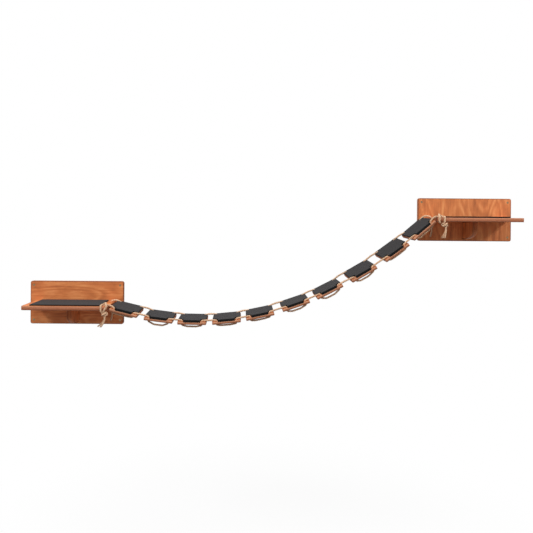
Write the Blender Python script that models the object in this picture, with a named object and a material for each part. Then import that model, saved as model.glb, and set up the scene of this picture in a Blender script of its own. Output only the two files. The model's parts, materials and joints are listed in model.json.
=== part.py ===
"""Cat wall bridge: two plywood wall shelves joined by a sagging rope bridge of felt-topped planks.

Metres, with +X along the wall from the low unit to the high one, +Y into the wall and +Z up.
The origin is the centre of the low unit's backboard, on the face that meets the wall.
"""

import math

import bmesh
import bpy
import numpy as np
from mathutils import Matrix, Vector

# Where the two wall units hang
UNIT_SPAN = 1.6645  # between the backboards' centres, along the wall
UNIT_RISE = 0.3685  # how much higher the right unit hangs

# Gaps and small finishes that every piece shares
SEAT = 0.0003  # gap between two pieces that touch
OVERRUN = 0.002  # how far a cutter runs past the face that it starts from
ARRIS = 0.0010  # the sanded edge of the plywood
FELT_ARRIS = 0.0008
ARC_STEP = math.radians(30)  # the widest turn between two points of an arc
ROPE_STEP = math.radians(45)  # the same on a rope
ARC_ROOM_SHARE = 0.49  # of a straight run that one arc may use up at most
STRAIGHT = math.radians(0.5)  # a corner that turns less is left as it is
SANDED_ANGLE = math.radians(50)  # an edge sharper than this is sanded
SHARP_ANGLE = math.radians(40)  # an edge sharper than this stays a crease in the shading

# Backboard
BOARD_LENGTH = 0.400
BOARD_HEIGHT = 0.1835
BOARD_THICKNESS = 0.018
BOARD_CORNER = 0.008
WALL_SCREW_FROM_END = 0.015
WALL_SCREW_FROM_EDGE = 0.017

# Shelf
SHELF_BRIDGE_END = 0.168  # from the backboard's middle to the shelf's end at the bridge
SHELF_OUTER_END = 0.179  # the same to its other end
SHELF_THICKNESS = 0.0165
SHELF_REACH = 0.167  # from the backboard's face to the front edge
SHELF_CORNER = 0.010
SHELF_HOLE_FROM_END = 0.016

# Bracket under the shelf
BRACKET_THICKNESS = 0.018
BRACKET_REACH = 0.117
BRACKET_NOSE = 0.034  # height of the front edge
BRACKET_HEIGHT = 0.074  # height against the backboard
COVE_STEPS = 9

# Felt
SHELF_FELT_THICKNESS = 0.005
PLANK_FELT_THICKNESS = 0.007
FELT_CORNER = 0.003
SHELF_PAD_OUTER_MARGIN = 0.030
SHELF_PAD_BRIDGE_MARGIN = 0.0305
SHELF_PAD_BACK_MARGIN = 0.002
SHELF_PAD_FRONT_MARGIN = 0.010

# Planks
PLANK_COUNT = 10
PLANK_LENGTH = 0.116  # along the bridge
PLANK_WIDTH = 0.150  # from the wall side to the front
PLANK_THICKNESS = 0.012
PLANK_CORNER = 0.004
PLANK_FROM_WALL = 0.0265
PLANK_HOLE_FROM_END = 0.018
PLANK_HOLE_FROM_FRONT = 0.012
PLANK_HOLE_FROM_BACK = 0.011
PAD_END_MARGIN = 0.001
PAD_EDGE_MARGIN = 0.0005
NOTCH_LENGTH = 0.022  # the felt's cut-out at each front corner, along the bridge
NOTCH_WIDTH = 0.024  # the same from the plank's front edge
NOTCH_CORNER = 0.006
SLOT_WIDTH = 0.0084  # the felt's slots for the back rope, from the plank's ends to its back holes
SLOT_ROUND_SHARE = 0.96  # how round a slot's closed end is

# The line that the planks hang on
LINE_END_LIFT = 0.005  # how far over the right shelf's top the line ends
PLANK_GAP = 0.02659  # the average one
GAP_SHARES = (0.34, 1.04, 0.74, 0.90, 0.81, 1.31, 1.17, 1.49, 1.57, 0.94, 0.69)
END_CLEARANCE = 0.0015  # at least, between an outer plank and its shelf
TILT_DEG = (2.4, 1.4, 0.9, 1.2, 1.4, 1.4, 1.8, 5.5, 6.5, 3.5)  # how far each plank's front hangs lower
PITCH_TRIM_DEG = (1.9, 1.4, 0.5, -0.6, -1.1, -1.1, 1.0, -1.5, -0.1, 0.3)
LEAST_SAG_SHARE = 0.02  # of the way between the shelves
MOST_SAG_SHARE = 0.6
SAG_HALVINGS = 40
CURVE_STEPS = 600

# Rope
ROPE_DIAMETER = 0.006
ROPE_SIDES_RESOLUTION = 1
HOLE_PLAY = 0.0008  # between the rope and its hole
HOLE_CHAMFER = 0.0015
HOLE_SIDES = 10
ROPE_BEND = 0.0045  # the rope's bend over the rim of a hole
LOOP_BEND = 0.009  # its easier bend where it hangs free below a plank
FREE_BEND = 0.200  # the bow of a free stretch
CROSSING_BEND = 0.006  # where the hitch crosses over the rope
FRONT_LIFT = 0.0010  # how high the front rope bows over the gaps, past what clears the planks' ends
BACK_LIFT = 0.0050
LOOP_SHOULDER = 0.0038  # a loop's depth right below its holes, to the rope's centre
LOOP_SAG = 0.0055  # the same for its lowest stretch
LOOP_SAG_SHARES = (1.0, 2.5, 1.55, 1.25, 1.25, 1.85, 2.2, 2.0, 1.0, 1.1)
LOOP_HALF_LENGTH = 0.018  # half of a loop's lowest stretch
LOOP_SLIDE = 0.012  # how far that stretch lies to the lower side of an upright plank

# Hitch of the front rope round each shelf's front edge, in rope diameters along the shelf from the hole
LEFT_HITCH_SHARES = {"up": 1.4, "back": 1.7, "cross": -1.2, "down": -2.7, "foot": -0.5}
RIGHT_HITCH_SHARES = {"up": -2.1, "back": 1.7, "cross": -1.2, "down": 1.5, "foot": 1.3}
HITCH_BACK_SHARE = 2.4  # how far behind the hole the turn reaches
CROSSING_SHARE = 1.5  # how high its corner stands over the rope that it crosses

# Overhand knot, in rope diameters, wound as an opened torus knot about an upright axis
KNOT_RING_SHARE = 1.27
KNOT_SWELL_SHARE = 0.6
KNOT_RISE_SHARE = 0.78
KNOT_TWIST = 1.5  # turns round the ring's section in each turn about the axis: a trefoil
KNOT_WIND_SHARE = 1.66  # half turns from the knot's middle to each of its ends
KNOT_POINTS = 25
KNOT_LEAD_SHARE = 0.85  # the rope's sweep into the knot and out of it, sideways and up or down
LEAD_POINTS = 4
KNOT_TURN = math.radians(-90)
KNOT_DROP_SHARE = 0.35  # from the shelf's underside to where the sweep starts

# How a rope's distance to itself is measured, in rope diameters
GAP_STEP_SHARE = 0.17
NEXT_TURN_SHARE = 2.2  # along the rope, before a point counts as the next turn

TAIL_LENGTH = 0.037
TAIL_POINTS = 7
FRONT_LEFT_LEAN = 0.42  # sideways run of a tail for each unit of drop
FRONT_RIGHT_LEAN = 0.12
BACK_LEAN = 0.16

# Screws
SCREW_SIDES = 10
SCREW_HEAD_RADIUS = 0.0046
SCREW_SHANK_RADIUS = 0.0022
SCREW_TIP = 0.005
SCREW_PLAY = 0.0003
CROSS_LENGTH = 0.0048
CROSS_WIDTH = 0.0012
CROSS_DEPTH = 0.0014
WALL_SCREW_LENGTH = 0.045
SHELF_SCREW_LENGTH = 0.040
BRACKET_SCREW_LENGTH = 0.040
TOP_SCREW_LENGTH = 0.035
SHELF_SCREWS = 4
SHELF_SCREW_FROM_END = 0.036
BRACKET_SCREWS = 2
BRACKET_SCREW_SPACING = 0.036
BRACKET_SCREW_FROM_TOP = 0.019
TOP_SCREW_FROM_WALL = 0.080

# Sizes that follow from those above
SHELF_DEPTH = BOARD_THICKNESS + SHELF_REACH  # from the wall to the shelf's front edge
BRIDGE_START = SHELF_BRIDGE_END
BRIDGE_END = UNIT_SPAN - SHELF_BRIDGE_END
LINE_RISE = UNIT_RISE + LINE_END_LIFT
PLANK_MIDDLE = PLANK_FROM_WALL + PLANK_WIDTH / 2
ROPE_RADIUS = ROPE_DIAMETER / 2
REACH = ROPE_RADIUS + SEAT  # from a face to the centre line of rope that lies on it
HOLE_RADIUS = ROPE_RADIUS + HOLE_PLAY
FRONT_ROPE = PLANK_HOLE_FROM_FRONT - PLANK_WIDTH / 2  # from the planks' middle line
BACK_ROPE = PLANK_WIDTH / 2 - PLANK_HOLE_FROM_BACK
SHELF_SCREW_SPACING = 2 * (SHELF_BRIDGE_END - SHELF_SCREW_FROM_END) / (SHELF_SCREWS - 1)
SCREW_HEAD_DEPTH = SCREW_HEAD_RADIUS - SCREW_SHANK_RADIUS  # a right-angled countersink

# Colour, roughness and metallic value of each material
WOOD = ((0.46, 0.17, 0.07), 0.5, 0.0)
PLANK_WOOD = ((0.50, 0.24, 0.13), 0.5, 0.0)
FELT = ((0.055, 0.055, 0.06), 0.95, 0.0)
HEMP = ((0.72, 0.50, 0.32), 0.9, 0.0)
BRONZE = ((0.16, 0.13, 0.08), 0.4, 0.9)


# Meshes and objects


def material(name, look):
    """A Principled material for one piece, from its colour, roughness and metallic value."""
    colour, roughness, metallic = look
    made = bpy.data.materials.new(name)
    made.use_nodes = True
    shader = made.node_tree.nodes["Principled BSDF"]
    shader.inputs["Base Color"].default_value = (*colour, 1)
    shader.inputs["Roughness"].default_value = roughness
    shader.inputs["Metallic"].default_value = metallic
    made.diffuse_color = (*colour, 1)
    return made


def place(obj, parent):
    bpy.context.scene.collection.objects.link(obj)
    obj.parent = parent


def frame(name, matrix, parent=None):
    """An empty that carries the pieces of one unit or of one plank."""
    empty = bpy.data.objects.new(name, None)
    place(empty, parent)
    empty.matrix_local = matrix
    return empty


def piece(name, bm, look, parent):
    """One named piece from a finished bmesh."""
    bmesh.ops.recalc_face_normals(bm, faces=bm.faces)
    mesh = bpy.data.meshes.new(name)
    bm.to_mesh(mesh)
    bm.free()
    obj = bpy.data.objects.new(name, mesh)
    mesh.materials.append(material(name, look))
    place(obj, parent)
    return obj


def soften(obj, width):
    """Sands the sharp edges of a flat piece, before anything is cut from it."""
    bevel = obj.modifiers.new("sanded_edge", "BEVEL")
    bevel.width = width
    bevel.segments = 1
    bevel.limit_method = "ANGLE"
    bevel.angle_limit = SANDED_ANGLE


def cut(obj, bm):
    """Cuts everything in a bmesh from a piece."""
    bmesh.ops.recalc_face_normals(bm, faces=bm.faces)
    mesh = bpy.data.meshes.new(obj.name + "_cutter")
    bm.to_mesh(mesh)
    bm.free()
    cutter = bpy.data.objects.new(mesh.name, mesh)
    place(cutter, obj.parent)
    cutter.hide_render = True
    cutter.display_type = "WIRE"
    boolean = obj.modifiers.new("holes", "BOOLEAN")
    boolean.operation = "DIFFERENCE"
    boolean.object = cutter


def shade_round(obj):
    obj.data.shade_smooth()
    obj.data.set_sharp_from_angle(angle=SHARP_ANGLE)


def prism(outline, low, high, matrix=None):
    """A closed prism over a flat outline of (x, y) points, from height low to height high."""
    bm = bmesh.new()
    bottom = [bm.verts.new((x, y, low)) for x, y in outline]
    top = [bm.verts.new((x, y, high)) for x, y in outline]
    bm.faces.new(bottom)
    bm.faces.new(top)
    for i in range(len(outline)):
        j = (i + 1) % len(outline)
        bm.faces.new((bottom[i], bottom[j], top[j], top[i]))
    bm.transform(matrix or Matrix())
    return bm


def turned(bm, profile, matrix, sides):
    """Adds a turned solid to a bmesh. The profile runs from the top down, as (radius, height)."""
    rings = []
    for radius, height in profile:
        count = sides if radius else 1
        rings.append(
            [
                bm.verts.new(
                    matrix
                    @ Vector(
                        (
                            radius * math.cos(2 * math.pi * k / sides),
                            radius * math.sin(2 * math.pi * k / sides),
                            height,
                        )
                    )
                )
                for k in range(count)
            ]
        )
    for upper, lower in zip(rings, rings[1:]):
        for k in range(sides):
            near, far = k, (k + 1) % sides
            corners = [upper[near % len(upper)], lower[near % len(lower)]]
            corners += [lower[far % len(lower)], upper[far % len(upper)]]
            bm.faces.new(list(dict.fromkeys(corners)))
    for ring in (rings[0], rings[-1]):
        if len(ring) > 1:
            bm.faces.new(ring)


def rounded(corners, bends, step=ARC_STEP):
    """The points of a line through corners, each rounded by an arc of its own bend radius.

    Where two corners lie too close for their arcs, the arc gets the room that there is.
    """
    corners = [Vector(c) for c in corners]
    points = [corners[0]]
    for before, corner, after, bend in zip(corners, corners[1:], corners[2:], bends[1:]):
        back, onward = before - corner, after - corner
        turn = math.pi - back.angle(onward)
        room = ARC_ROOM_SHARE * min(back.length, onward.length)
        if turn < STRAIGHT or not bend:
            points.append(corner)
            continue
        leg = min(bend * math.tan(turn / 2), room)
        radius = leg / math.tan(turn / 2)
        middle = (back.normalized() + onward.normalized()).normalized()
        centre = corner + middle * math.hypot(leg, radius)
        start = corner + back.normalized() * leg - centre
        axis = back.cross(onward).normalized()
        count = max(1, math.ceil(turn / step))
        for k in range(count + 1):
            points.append(centre + Matrix.Rotation(-turn * k / count, 3, axis) @ start)
    points.append(corners[-1])
    return points


def rounded_outline(corners, bends):
    """A closed flat outline with rounded corners, as (x, y) points."""
    around = [corners[-1], *corners, corners[0]]
    radii = [0, *bends, 0]
    points = rounded([(x, y, 0) for x, y in around], radii)
    return [(p.x, p.y) for p in points[1:-1]]


def rectangle(left, right, low, high, bends):
    """A rounded rectangle. Its bends start at the lower left and run counter-clockwise."""
    corners = [(left, low), (right, low), (right, high), (left, high)]
    return rounded_outline(corners, bends)


# Screws and their holes


def facing(point, direction):
    """A matrix that puts a turned solid's top at a point, with its body running in a direction."""
    turn = Vector(direction).to_track_quat("-Z", "Y").to_matrix().to_4x4()
    return Matrix.Translation(point) @ turn


def screw_hole(bm, point, direction, length):
    """Adds a countersunk hole for one screw to a cutter, with its pilot hole."""
    wide = SCREW_HEAD_RADIUS + SCREW_PLAY
    narrow = SCREW_SHANK_RADIUS + SCREW_PLAY
    profile = (
        (wide, OVERRUN),
        (wide, -SCREW_PLAY),
        (narrow, -SCREW_PLAY - SCREW_HEAD_DEPTH),
        (narrow, -SCREW_PLAY - length),
    )
    turned(bm, profile, facing(point, direction), SCREW_SIDES)


def screw(name, point, direction, length, parent):
    """A countersunk screw with a cross recess, sunk just under the face that it holds down."""
    bm = bmesh.new()
    profile = (
        (SCREW_HEAD_RADIUS, -SCREW_PLAY),
        (SCREW_SHANK_RADIUS, -SCREW_PLAY - SCREW_HEAD_DEPTH),
        (SCREW_SHANK_RADIUS, SCREW_TIP - length),
        (0, -length),
    )
    turned(bm, profile, Matrix(), SCREW_SIDES)
    obj = piece(name, bm, BRONZE, parent)
    obj.matrix_local = facing(point, direction)
    long, half = CROSS_LENGTH / 2, CROSS_WIDTH / 2
    arms = [(long, -half), (long, half), (half, half)]
    cross = [
        (x * math.cos(k) - y * math.sin(k), x * math.sin(k) + y * math.cos(k))
        for k in (0, math.pi / 2, math.pi, 3 * math.pi / 2)
        for x, y in arms
    ]
    cut(obj, prism(cross, -CROSS_DEPTH, OVERRUN))
    bpy.data.objects[name + "_cutter"].matrix_local = obj.matrix_local
    shade_round(obj)


def rope_hole(bm, point, thickness, upright=Matrix()):
    """Adds a rope hole with a chamfer on both rims to a cutter. The point is on the top face."""
    rim = HOLE_RADIUS + HOLE_CHAMFER
    profile = (
        (rim + OVERRUN, OVERRUN),
        (HOLE_RADIUS, -HOLE_CHAMFER),
        (HOLE_RADIUS, HOLE_CHAMFER - thickness),
        (rim + OVERRUN, -thickness - OVERRUN),
    )
    turned(bm, profile, Matrix.Translation(point) @ upright, HOLE_SIDES)


# Wall units


def wall_unit(side, origin, bridge):
    """A backboard with its shelf, bracket, felt and screws. The bridge leaves towards +X or -X."""
    unit = frame(f"{side}_unit", Matrix.Translation(origin))
    top, bottom = SHELF_THICKNESS / 2, -SHELF_THICKNESS / 2
    face = -BOARD_THICKNESS
    half_length, half_height = BOARD_LENGTH / 2, BOARD_HEIGHT / 2

    outline = rectangle(-half_length, half_length, -half_height, half_height, [BOARD_CORNER] * 4)
    upright = Matrix.Rotation(math.pi / 2, 4, "X")
    board = piece(f"{side}_backboard", prism(outline, 0, BOARD_THICKNESS, upright), WOOD, unit)
    soften(board, ARRIS)
    board_holes = bmesh.new()

    bends = [SHELF_CORNER, SHELF_CORNER, 0, 0]
    ends = sorted(bridge * x for x in (-SHELF_OUTER_END, SHELF_BRIDGE_END))
    outline = rectangle(*ends, -SHELF_DEPTH, face - SEAT, bends)
    shelf = piece(f"{side}_shelf", prism(outline, bottom, top), WOOD, unit)
    soften(shelf, ARRIS)
    shelf_holes = bmesh.new()
    rope_x = bridge * (SHELF_BRIDGE_END - SHELF_HOLE_FROM_END)
    for offset in (FRONT_ROPE, BACK_ROPE):
        rope_hole(shelf_holes, (rope_x, offset - PLANK_MIDDLE, top), SHELF_THICKNESS)

    bracket = piece(f"{side}_bracket", bracket_shape(bottom - SEAT, face - SEAT), WOOD, unit)
    soften(bracket, ARRIS)
    bracket_holes = bmesh.new()

    at_x = half_length - WALL_SCREW_FROM_END
    at_z = half_height - WALL_SCREW_FROM_EDGE
    corners = [(x, z) for z in (at_z, -at_z) for x in (-at_x, at_x)]
    for number, (x, z) in enumerate(corners, 1):
        point = (x, face, z)
        screw_hole(board_holes, point, (0, 1, 0), WALL_SCREW_LENGTH)
        screw(f"{side}_wall_screw_{number}", point, (0, 1, 0), WALL_SCREW_LENGTH, unit)

    for number in range(SHELF_SCREWS):
        x = (number - (SHELF_SCREWS - 1) / 2) * SHELF_SCREW_SPACING
        for holes in (board_holes, shelf_holes):
            screw_hole(holes, (x, 0, 0), (0, -1, 0), SHELF_SCREW_LENGTH)
        name = f"{side}_shelf_screw_{number + 1}"
        screw(name, (x, 0, 0), (0, -1, 0), SHELF_SCREW_LENGTH, unit)

    for number in range(BRACKET_SCREWS):
        z = bottom - BRACKET_SCREW_FROM_TOP - number * BRACKET_SCREW_SPACING
        for holes in (board_holes, bracket_holes):
            screw_hole(holes, (0, 0, z), (0, -1, 0), BRACKET_SCREW_LENGTH)
        name = f"{side}_bracket_screw_{number + 1}"
        screw(name, (0, 0, z), (0, -1, 0), BRACKET_SCREW_LENGTH, unit)

    point = (0, -TOP_SCREW_FROM_WALL, top)
    for holes in (shelf_holes, bracket_holes):
        screw_hole(holes, point, (0, 0, -1), TOP_SCREW_LENGTH)
    screw(f"{side}_top_screw", point, (0, 0, -1), TOP_SCREW_LENGTH, unit)

    cut(board, board_holes)
    cut(shelf, shelf_holes)
    cut(bracket, bracket_holes)

    ends = sorted(
        bridge * x
        for x in (
            SHELF_PAD_OUTER_MARGIN - SHELF_OUTER_END,
            SHELF_BRIDGE_END - SHELF_PAD_BRIDGE_MARGIN,
        )
    )
    front, back = SHELF_PAD_FRONT_MARGIN - SHELF_DEPTH, face - SHELF_PAD_BACK_MARGIN
    outline = rectangle(*ends, front, back, [FELT_CORNER] * 4)
    felt = prism(outline, top + SEAT, top + SEAT + SHELF_FELT_THICKNESS)
    soften(piece(f"{side}_shelf_pad", felt, FELT, unit), FELT_ARRIS)


def bracket_shape(top, back):
    """The bracket's plate, with a cove from its nose down to its foot on the backboard."""
    nose_y = -BOARD_THICKNESS - BRACKET_REACH
    nose_z, foot_z = top - BRACKET_NOSE, top - BRACKET_HEIGHT
    outline = [(back, top), (nose_y, top)]
    for k in range(COVE_STEPS + 1):
        turn = math.pi / 2 * k / COVE_STEPS
        y = nose_y + (back - nose_y) * (1 - math.cos(turn))
        outline.append((y, foot_z + (nose_z - foot_z) * (1 - math.sin(turn))))
    to_side = Matrix(((0, 0, 1, 0), (1, 0, 0, 0), (0, 1, 0, 0), (0, 0, 0, 1)))
    return prism(outline, -BRACKET_THICKNESS / 2, BRACKET_THICKNESS / 2, to_side)


# The hanging line and the planks on it


def hanging_line(sag):
    """The planks' line, a parabola under its chord, as x, height and length so far."""
    share = np.linspace(0, 1, CURVE_STEPS)
    xs = BRIDGE_START + (BRIDGE_END - BRIDGE_START) * share
    zs = SHELF_THICKNESS / 2 + LINE_RISE * share - 4 * sag * share * (1 - share)
    run = np.concatenate([[0], np.cumsum(np.hypot(np.diff(xs), np.diff(zs)))])
    return xs, zs, run


def plank_gaps(sag):
    """The gaps along the line, each outer one wide enough for its plank's lower corner."""
    total = sum(GAP_SHARES[k % len(GAP_SHARES)] for k in range(PLANK_COUNT + 1))
    gaps = [
        PLANK_GAP * (PLANK_COUNT + 1) * GAP_SHARES[k % len(GAP_SHARES)] / total
        for k in range(PLANK_COUNT + 1)
    ]
    for end, climb in ((0, 4 * sag - LINE_RISE), (-1, 4 * sag + LINE_RISE)):
        slope = max(0, climb / (BRIDGE_END - BRIDGE_START))
        least = PLANK_THICKNESS * slope + END_CLEARANCE * math.hypot(1, slope)
        gaps[end] = max(gaps[end], least)
    return gaps


def bridge_sag():
    """How far the line sags under its chord, for the planks and their gaps to fill it."""
    low, high = (share * (BRIDGE_END - BRIDGE_START) for share in (LEAST_SAG_SHARE, MOST_SAG_SHARE))
    for _ in range(SAG_HALVINGS):
        sag = (low + high) / 2
        if hanging_line(sag)[2][-1] < PLANK_COUNT * PLANK_LENGTH + sum(plank_gaps(sag)):
            low = sag
        else:
            high = sag
    return low


def plank_frames():
    """Where each plank hangs, as a matrix from its own axes to the world's.

    A plank's own origin is the middle of its length and width, at the height of the ropes' centre
    lines over its wood, which is where it swings. Its X runs along the bridge.
    """
    sag = bridge_sag()
    xs, zs, run = hanging_line(sag)
    gaps = plank_gaps(sag)
    stretch = (run[-1] - PLANK_COUNT * PLANK_LENGTH) / sum(gaps)
    frames, at = [], 0.0
    for number in range(PLANK_COUNT):
        at += gaps[number] * stretch
        ends = [np.interp(s, run, xs) for s in (at, at + PLANK_LENGTH)]
        heights = [np.interp(x, xs, zs) for x in ends]
        pitch = math.atan2(heights[1] - heights[0], ends[1] - ends[0])
        pitch += math.radians(PITCH_TRIM_DEG[number % len(PITCH_TRIM_DEG)])
        tilt = math.radians(TILT_DEG[number % len(TILT_DEG)])
        middle = Vector((sum(ends) / 2, -PLANK_MIDDLE, sum(heights) / 2))
        turn = Matrix.Rotation(-pitch, 4, "Y") @ Matrix.Translation((0, 0, REACH))
        frames.append(Matrix.Translation(middle) @ turn @ Matrix.Rotation(tilt, 4, "X"))
        at += PLANK_LENGTH
    return frames


def plank(number, matrix):
    """A plank of plywood with four rope holes, and its felt."""
    swing = frame(f"plank_{number:02d}_swing", matrix)
    half_length, half_width = PLANK_LENGTH / 2, PLANK_WIDTH / 2
    outline = rectangle(-half_length, half_length, -half_width, half_width, [PLANK_CORNER] * 4)
    wood = piece(
        f"plank_{number:02d}", prism(outline, -REACH - PLANK_THICKNESS, -REACH), PLANK_WOOD, swing
    )
    soften(wood, ARRIS)
    holes = bmesh.new()
    for x in (PLANK_HOLE_FROM_END - half_length, half_length - PLANK_HOLE_FROM_END):
        for y in (FRONT_ROPE, BACK_ROPE):
            rope_hole(holes, (x, y, -REACH), PLANK_THICKNESS)
    cut(wood, holes)

    outline = rounded_outline(*plank_felt_corners(half_length, half_width))
    felt = prism(outline, SEAT - REACH, SEAT - REACH + PLANK_FELT_THICKNESS)
    soften(piece(f"plank_pad_{number:02d}", felt, FELT, swing), FELT_ARRIS)


def plank_felt_corners(half_length, half_width):
    """The outline of a plank's felt from its front left: notched in front, slotted at the back."""
    long, front, back = half_length - PAD_END_MARGIN, PAD_EDGE_MARGIN - half_width, half_width
    back -= PAD_EDGE_MARGIN
    notch_x, notch_y = half_length - NOTCH_LENGTH, NOTCH_WIDTH - half_width
    slot_x = half_length - PLANK_HOLE_FROM_END - SLOT_WIDTH / 2
    low, high = BACK_ROPE - SLOT_WIDTH / 2, BACK_ROPE + SLOT_WIDTH / 2
    turn = SLOT_ROUND_SHARE * SLOT_WIDTH / 2
    right = [(notch_x, front, 0), (notch_x, notch_y, NOTCH_CORNER), (long, notch_y, 0)]
    right += [(long, low, 0), (slot_x, low, turn), (slot_x, high, turn), (long, high, 0)]
    right += [(long, back, 0)]
    around = right + [(-x, y, bend) for x, y, bend in reversed(right)]
    return [(x, y) for x, y, bend in around], [bend for x, y, bend in around]


# Ropes


class Route:
    """A rope's corners with the bend at each, gathered in order along the rope."""

    def __init__(self):
        self.corners, self.bends = [], []

    def add(self, corner, bend):
        self.corners.append(Vector(corner))
        self.bends.append(bend)

    def points(self):
        return rounded(self.corners, self.bends, ROPE_STEP)


def hole_place(matrix, end, depth, height):
    """A point on a plank's rope hole. end is -1 or 1, and the height is over the wood."""
    x = end * (PLANK_LENGTH / 2 - PLANK_HOLE_FROM_END)
    return matrix @ Vector((x, depth, height - REACH))


def span(route, near, far, lift):
    """Takes a rope out of one hole, over both pieces' ends and down the next hole.

    near and far each give the hole's top, the edge that the rope crosses and the way up.
    """
    (near_top, near_edge, near_up), (far_top, far_edge, far_up) = near, far
    along = far_top - near_top
    half = along.length / 2
    up = Vector((-along.z, 0, along.x)).normalized()
    along.normalize()
    rise = 0.0
    for edge in (near_edge, far_edge):
        out = half - abs((edge - near_top).dot(along) - half)
        rise = max(rise, (edge - near_top).dot(up) * half / out)
    route.add(near_top + near_up * REACH, ROPE_BEND)
    route.add((near_top + far_top) / 2 + up * (REACH + rise + lift), FREE_BEND)
    route.add(far_top + far_up * REACH, ROPE_BEND)


def loop_under(route, matrix, depth, sag):
    """Takes a rope down one hole of a plank, in a slack loop under it and up the other hole."""
    slide = LOOP_SLIDE * (matrix.to_3x3() @ Vector((1, 0, 0))).z
    low = -REACH - PLANK_THICKNESS - sag
    route.add(hole_place(matrix, -1, depth, -PLANK_THICKNESS - LOOP_SHOULDER), ROPE_BEND)
    for end in (-1, 1):
        route.add(matrix @ Vector((end * LOOP_HALF_LENGTH - slide, depth, low)), LOOP_BEND)
    route.add(hole_place(matrix, 1, depth, -PLANK_THICKNESS - LOOP_SHOULDER), ROPE_BEND)


def shelf_place(bridge, along, depth, height):
    """A point by a shelf: along inwards from its bridge end, depth from the wall, height over its top."""
    if bridge > 0:
        return Vector((BRIDGE_START - along, -depth, SHELF_THICKNESS / 2 + height))
    return Vector((BRIDGE_END + along, -depth, UNIT_RISE + SHELF_THICKNESS / 2 + height))


def bridge_stretch(frames, side_offset, lift, sags):
    """The stretch of a rope between the two shelves' holes, through every plank."""
    route = Route()
    depth = PLANK_MIDDLE - side_offset
    plank_edge = PLANK_LENGTH / 2
    left = [
        (
            shelf_place(1, SHELF_HOLE_FROM_END, depth, 0),
            shelf_place(1, 0, depth, 0),
            Vector((0, 0, 1)),
        )
    ]
    right = []
    for matrix in frames:
        up = matrix.to_3x3() @ Vector((0, 0, 1))
        for end, side in ((-1, right), (1, left)):
            edge = matrix @ Vector((end * plank_edge, side_offset, -REACH))
            side.append((hole_place(matrix, end, side_offset, 0), edge, up))
    right.append(
        (
            shelf_place(-1, SHELF_HOLE_FROM_END, depth, 0),
            shelf_place(-1, 0, depth, 0),
            Vector((0, 0, 1)),
        )
    )
    for number, (near, far) in enumerate(zip(left, right)):
        span(route, near, far, lift)
        if number < len(frames):
            loop_under(route, frames[number], side_offset, sags[number])
    return route


def sweep(start, leaving, end, arriving):
    """Points of a smooth bend from one point and direction to another, without its two ends."""
    reach = (end - start).length
    points = []
    for k in range(1, LEAD_POINTS):
        t = k / LEAD_POINTS
        points.append(
            start * (2 * t**3 - 3 * t**2 + 1)
            + leaving * reach * (t**3 - 2 * t**2 + t)
            + end * (3 * t**2 - 2 * t**3)
            + arriving * reach * (t**3 - t**2)
        )
    return points


def knot(entry, turn):
    """The points of an overhand knot that hangs from an entry point, down to where the rope leaves it."""
    ring = KNOT_RING_SHARE * ROPE_DIAMETER
    swell = KNOT_SWELL_SHARE * ROPE_DIAMETER
    rise = KNOT_RISE_SHARE * ROPE_DIAMETER
    points = []
    for k in range(KNOT_POINTS):
        angle = math.pi * KNOT_WIND_SHARE * (2 * k / (KNOT_POINTS - 1) - 1)
        radius = ring + swell * math.cos(KNOT_TWIST * angle)
        height = rise * math.sin(KNOT_TWIST * angle)
        points.append(Vector((radius * math.cos(angle), radius * math.sin(angle), height)))
    if points[0].z < points[-1].z:
        points.reverse()
    spin = Matrix.Rotation(turn, 3, "Z")
    points = [spin @ p for p in points]
    lead = KNOT_LEAD_SHARE * ROPE_DIAMETER
    down = Vector((0, 0, -1))
    into = (points[1] - points[0]).normalized()
    out = (points[-1] - points[-2]).normalized()
    first = points[0] - (into + down) * lead
    last = points[-1] + (out + down) * lead
    points = [
        first,
        *sweep(first, down, points[0], into),
        *points,
        *sweep(points[-1], out, last, down),
        last,
        last + down * lead,
    ]
    shift = Vector(entry) - first
    return [p + shift for p in points]


def hitch(bridge, shares, arch):
    """Takes the front rope from its shelf hole forwards, up the front edge, round and down again."""
    depth = PLANK_MIDDLE - FRONT_ROPE
    front, under = SHELF_DEPTH + REACH, -SHELF_THICKNESS - REACH
    hole = SHELF_HOLE_FROM_END
    at = {}
    for name, share in shares.items():
        at[name] = hole + share * ROPE_DIAMETER
    crossed = arch_height(arch, bridge, at["cross"])
    crossing = shelf_place(bridge, at["cross"], depth, crossed + CROSSING_SHARE * ROPE_DIAMETER)
    behind = shelf_place(bridge, at["back"], depth - HITCH_BACK_SHARE * ROPE_DIAMETER, REACH)
    turn = [(behind, LOOP_BEND), (crossing, CROSSING_BEND)]
    if shares["up"] < shares["down"]:
        turn.reverse()
    route = Route()
    route.add(shelf_place(bridge, hole, depth, -SHELF_THICKNESS / 2), 0)
    route.add(shelf_place(bridge, hole, depth, under), ROPE_BEND)
    route.add(shelf_place(bridge, at["up"], front, under), ROPE_BEND)
    route.add(shelf_place(bridge, at["up"], front, REACH), ROPE_BEND)
    for corner, bend in turn:
        route.add(corner, bend)
    route.add(shelf_place(bridge, at["down"], front, REACH), ROPE_BEND)
    entry_height = -SHELF_THICKNESS - KNOT_DROP_SHARE * ROPE_DIAMETER
    entry = shelf_place(bridge, at["foot"], front, entry_height)
    route.add(entry, 0)
    return route.points()[:-1] + knot(entry, KNOT_TURN)


def arch_height(points, bridge, along):
    """How high over the shelf's top a rope's points pass, at a place along from the shelf's end."""
    places = sorted((p.x, p.z) for p in points)
    at = shelf_place(bridge, along, 0, 0)
    return float(np.interp(at.x, [x for x, _ in places], [z for _, z in places])) - at.z


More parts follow.
